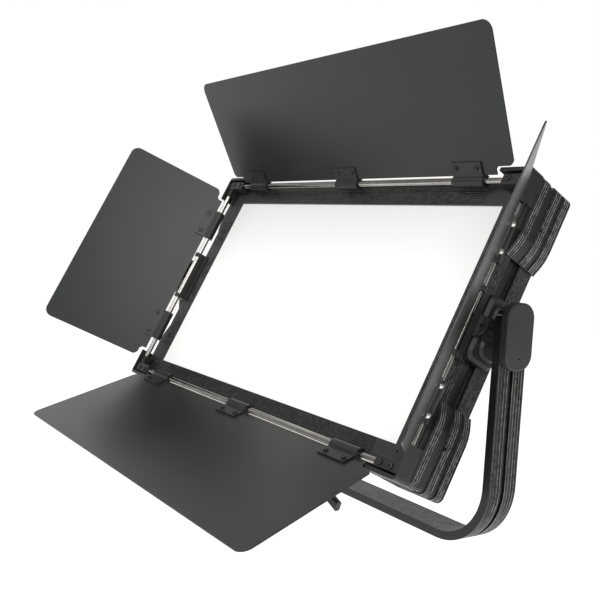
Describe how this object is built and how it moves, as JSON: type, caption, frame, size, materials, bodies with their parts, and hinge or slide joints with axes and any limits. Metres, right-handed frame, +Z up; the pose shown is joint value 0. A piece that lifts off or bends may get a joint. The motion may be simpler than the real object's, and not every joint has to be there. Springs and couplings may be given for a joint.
{
  "type": "led panel light",
  "caption": "Wide flat soft-light panel with opal front, folding shades on hinge rods and a tilting stirrup yoke with a stand socket below.",
  "frame": {"origin": "centre of the mouth of the stand socket under the yoke", "axes": "+Z up, X along the tilt axis, the lit face points toward -Y"},
  "size_m": [0.8935, 0.4094, 0.6323],
  "materials": {
    "ribbed_extrusion": "black anodised, fine ribs along the length",
    "dark_casting": "satin black powder coat",
    "leaf_paint": "satin charcoal paint on aluminium sheet",
    "bracket_metal": "satin black",
    "moulded_plastic": "fine matt grain",
    "opal_diffuser": "opal white, lit",
    "steel_rod": "polished",
    "black_screw": "black oxide",
    "bare_heat_sink": "black anodised",
    "white_tray": "matt white reflector paint",
    "board": "solder mask",
    "led_die": "phosphor",
    "sheet_cover": "textured black powder coat",
    "display": "dark clear window",
    "washer_polymer": "friction polymer",
    "supply_case": "potted block",
    "contact_brass": "bright"
  },
  "bodies": {
    "yoke": {"yoke_bar": "ribbed_extrusion", "yoke_arm_left": "ribbed_extrusion", "yoke_arm_right": "ribbed_extrusion", "yoke_cap_right": "moulded_plastic", "yoke_cap_left": "moulded_plastic", "yoke_cap_screws": "black_screw", "stand_socket": "dark_casting", "socket_bolts": "black_screw", "pivot_bolts": "steel_rod", "friction_washers": "washer_polymer"},
    "head": {"body_rail_bottom": "ribbed_extrusion", "body_rail_left": "ribbed_extrusion", "body_rail_right": "ribbed_extrusion", "body_rail_top": "ribbed_extrusion", "control_panel": "moulded_plastic", "corner_guard_bottom_left": "moulded_plastic", "corner_guard_bottom_right": "moulded_plastic", "corner_guard_top_left": "moulded_plastic", "corner_guard_top_right": "moulded_plastic", "corner_plates": "dark_casting", "data_sockets": "moulded_plastic", "diffuser": "opal_diffuser", "display_window": "display", "door_corner_brackets": "bracket_metal", "door_mid_brackets": "dark_casting", "door_rods": "steel_rod", "driver_board": "board", "front_rail_bottom": "ribbed_extrusion", "front_rail_left": "ribbed_extrusion", "front_rail_right": "ribbed_extrusion", "front_rail_top": "ribbed_extrusion", "guard_end_clips": "moulded_plastic", "head_screws": "black_screw", "heat_sinks": "bare_heat_sink", "inlet_pins": "contact_brass", "led_board": "board", "led_chips": "led_die", "light_tray": "white_tray", "pivot_plates": "dark_casting", "power_inlet": "moulded_plastic", "power_supply": "supply_case", "rear_cover": "sheet_cover", "rear_housing": "sheet_cover", "switch_bezel": "moulded_plastic"},
    "socket_clamp": {"socket_clamp_stud": "steel_rod", "socket_clamp_knob": "moulded_plastic"},
    "tilt_clamp": {"tilt_knob": "moulded_plastic"},
    "top_leaf": {"leaf_top": "leaf_paint", "leaf_top_clips": "bracket_metal"},
    "bottom_leaf": {"leaf_bottom": "leaf_paint", "leaf_bottom_clips": "bracket_metal"},
    "left_leaf": {"leaf_left": "leaf_paint", "leaf_left_clips": "bracket_metal"},
    "right_leaf": {"leaf_right": "leaf_paint", "leaf_right_clips": "bracket_metal"},
    "left_encoder": {"encoder_left": "moulded_plastic"},
    "right_encoder": {"encoder_right": "moulded_plastic"},
    "left_button": {"button_left": "moulded_plastic"},
    "right_button": {"button_right": "moulded_plastic"},
    "rocker": {"power_rocker": "moulded_plastic"}
  },
  "joints": [
    {"name": "head_tilt", "type": "hinge", "parent": "yoke", "child": "head", "pos_m": [0, 0, 0.297], "axis": [-1, 0, 0], "range_deg": [-31, 57]},
    {"name": "top_leaf_hinge", "type": "hinge", "parent": "head", "child": "top_leaf", "pos_m": [0, 0.05477, 0.46679], "axis": [1, 0, 0], "range_deg": [-71, 98]},
    {"name": "bottom_leaf_hinge", "type": "hinge", "parent": "head", "child": "bottom_leaf", "pos_m": [0, -0.10667, 0.154], "axis": [-1, 0, 0], "range_deg": [-24, 105]},
    {"name": "right_leaf_hinge", "type": "hinge", "parent": "head", "child": "right_leaf", "pos_m": [0.3345, -0.02595, 0.31039], "axis": [0, -0.4586, -0.8886], "range_deg": [-21, 44]},
    {"name": "left_leaf_hinge", "type": "hinge", "parent": "head", "child": "left_leaf", "pos_m": [-0.3345, -0.02595, 0.31039], "axis": [0, 0.4586, 0.8886], "range_deg": [-32, 33]},
    {"name": "tilt_clamp_turn", "type": "hinge", "parent": "yoke", "child": "tilt_clamp", "pos_m": [-0.4, 0, 0.297], "axis": [1, 0, 0], "range_deg": [-180, 180]},
    {"name": "socket_clamp_turn", "type": "hinge", "parent": "yoke", "child": "socket_clamp", "pos_m": [0, 0.03, 0.029], "axis": [0, 1, 0], "range_deg": [0, 720]},
    {"name": "left_encoder_turn", "type": "hinge", "parent": "head", "child": "left_encoder", "pos_m": [-0.084, 0.10331, 0.29657], "axis": [0, 0.8886, -0.4586], "continuous": true},
    {"name": "right_encoder_turn", "type": "hinge", "parent": "head", "child": "right_encoder", "pos_m": [0.084, 0.10331, 0.29657], "axis": [0, 0.8886, -0.4586], "continuous": true},
    {"name": "left_button_press", "type": "slide", "parent": "head", "child": "left_button", "axis": [0, -0.8886, 0.4586], "range_m": [0, 0.0015], "stiffness_N_per_m": 300},
    {"name": "right_button_press", "type": "slide", "parent": "head", "child": "right_button", "axis": [0, -0.8886, 0.4586], "range_m": [0, 0.0015], "stiffness_N_per_m": 300},
    {"name": "power_rocker_tip", "type": "hinge", "parent": "head", "child": "rocker", "pos_m": [0.118, 0.05082, 0.2145], "axis": [1, 0, 0], "range_deg": [-6, 6]}
  ]
}
